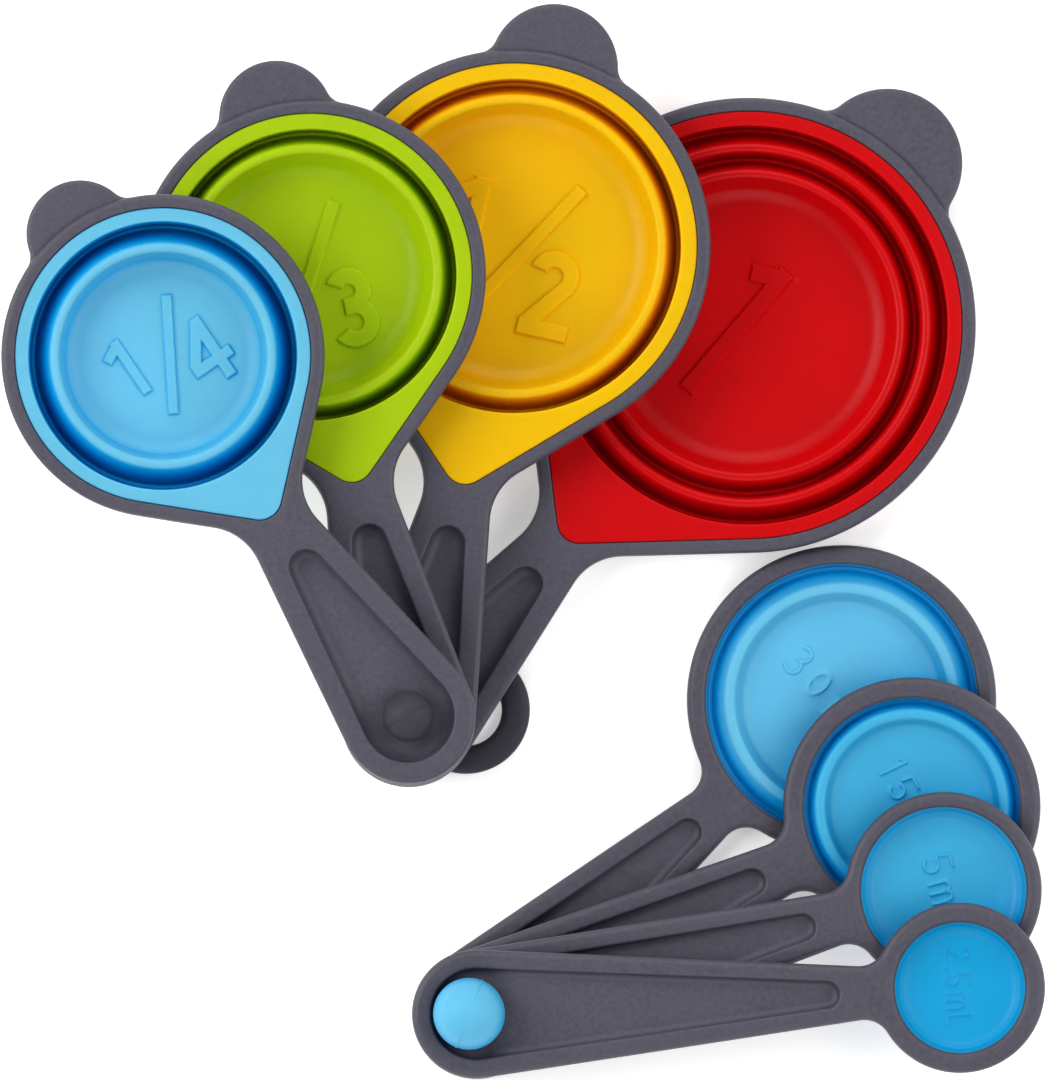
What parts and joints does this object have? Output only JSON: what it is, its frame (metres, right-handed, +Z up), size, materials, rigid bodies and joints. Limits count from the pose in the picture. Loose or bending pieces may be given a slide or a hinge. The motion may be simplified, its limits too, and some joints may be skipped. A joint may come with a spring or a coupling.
{
  "type": "collapsible measuring cup and spoon set",
  "caption": "Measuring cups and spoons with folding silicone bowls in stiff plastic frames, each fan held by a pin; the largest cup and the largest spoon fold open.",
  "frame": {"origin": "on the axis of the cup pin, at the table", "axes": "+Z up, +Y from the cup pin towards the cup bowls, +X to the right with the spoons nearest the viewer"},
  "size_m": [0.2495, 0.2577, 0.0528],
  "materials": {
    "frame_grey": "fine satin, dark purplish grey",
    "pin_grey": "satin moulded silicone with a parting line",
    "silicone_red": "satin moulded silicone",
    "silicone_yellow": "satin moulded silicone",
    "silicone_green": "satin moulded silicone",
    "silicone_light_blue": "satin moulded silicone",
    "silicone_blue": "satin moulded silicone"
  },
  "bodies": {
    "cup_1_base": {"cup_1_base": "silicone_red", "cup_1_pleat_inner": "silicone_red"},
    "cup_1_band": {"cup_1_band": "silicone_red"},
    "cup_1": {"cup_1_frame": "frame_grey", "cup_1_flange": "silicone_red", "cup_1_pleat_outer": "silicone_red"},
    "cup_pin": {"cup_pin": "pin_grey"},
    "cup_half": {"cup_half_frame": "frame_grey", "cup_half_bowl": "silicone_yellow"},
    "cup_third": {"cup_third_frame": "frame_grey", "cup_third_bowl": "silicone_green"},
    "cup_quarter": {"cup_quarter_frame": "frame_grey", "cup_quarter_bowl": "silicone_light_blue"},
    "spoon_30_base": {"spoon_30_base": "silicone_blue"},
    "spoon_30": {"spoon_30_frame": "frame_grey", "spoon_30_rim": "silicone_blue", "spoon_30_pleat": "silicone_blue"},
    "spoon_pin": {"spoon_pin": "silicone_blue"},
    "spoon_15": {"spoon_15_frame": "frame_grey", "spoon_15_bowl": "silicone_blue"},
    "spoon_5": {"spoon_5_frame": "frame_grey", "spoon_5_bowl": "silicone_blue"},
    "spoon_2_5": {"spoon_2_5_frame": "frame_grey", "spoon_2_5_bowl": "silicone_blue"}
  },
  "joints": [
    {"name": "cup_1_open", "type": "slide", "parent": "cup_1_base", "child": "cup_1", "axis": [0, 0, 1], "range_m": [0, 0.03584], "deforming": ["cup_1_pleat_outer", "cup_1_pleat_inner"]},
    {"name": "cup_1_band_follow", "type": "slide", "parent": "cup_1_base", "child": "cup_1_band", "axis": [0, 0, 1], "range_m": [0, 0.01802]},
    {"name": "cup_pin_turn", "type": "hinge", "parent": "cup_1", "child": "cup_pin", "pos_m": [0, 0, 0], "axis": [0, 0, 1], "continuous": true},
    {"name": "cup_half_swing", "type": "hinge", "parent": "cup_1", "child": "cup_half", "pos_m": [0, 0, 0], "axis": [0, 0, 1], "range_deg": [-28.1, 151.9]},
    {"name": "cup_third_swing", "type": "hinge", "parent": "cup_1", "child": "cup_third", "pos_m": [0, 0, 0], "axis": [0, 0, 1], "range_deg": [-53.1, 126.9]},
    {"name": "cup_quarter_swing", "type": "hinge", "parent": "cup_1", "child": "cup_quarter", "pos_m": [0, 0, 0], "axis": [0, 0, 1], "range_deg": [-74.9, 105.1]},
    {"name": "spoons_apart", "type": "slide", "parent": "cup_1_base", "child": "spoon_30_base", "axis": [1, 0, 0], "range_m": [0, 0.12]},
    {"name": "spoon_30_open", "type": "slide", "parent": "spoon_30_base", "child": "spoon_30", "axis": [0, 0, 1], "range_m": [0, 0.00739], "deforming": ["spoon_30_pleat"]},
    {"name": "spoon_pin_turn", "type": "hinge", "parent": "spoon_30", "child": "spoon_pin", "pos_m": [0.0163, -0.0708, 0], "axis": [0, 0, 1], "continuous": true},
    {"name": "spoon_15_swing", "type": "hinge", "parent": "spoon_30", "child": "spoon_15", "pos_m": [0.0163, -0.0708, 0], "axis": [0, 0, -1], "range_deg": [-15.2, 115.6]},
    {"name": "spoon_5_swing", "type": "hinge", "parent": "spoon_30", "child": "spoon_5", "pos_m": [0.0163, -0.0708, 0], "axis": [0, 0, -1], "range_deg": [-25.9, 104.9]},
    {"name": "spoon_2_5_swing", "type": "hinge", "parent": "spoon_30", "child": "spoon_2_5", "pos_m": [0.0163, -0.0708, 0], "axis": [0, 0, -1], "range_deg": [-37.7, 93.1]}
  ],
  "couplings": [
    {"joint": "cup_1_band_follow", "follows": "cup_1_open", "ratio": 0.5}
  ]
}
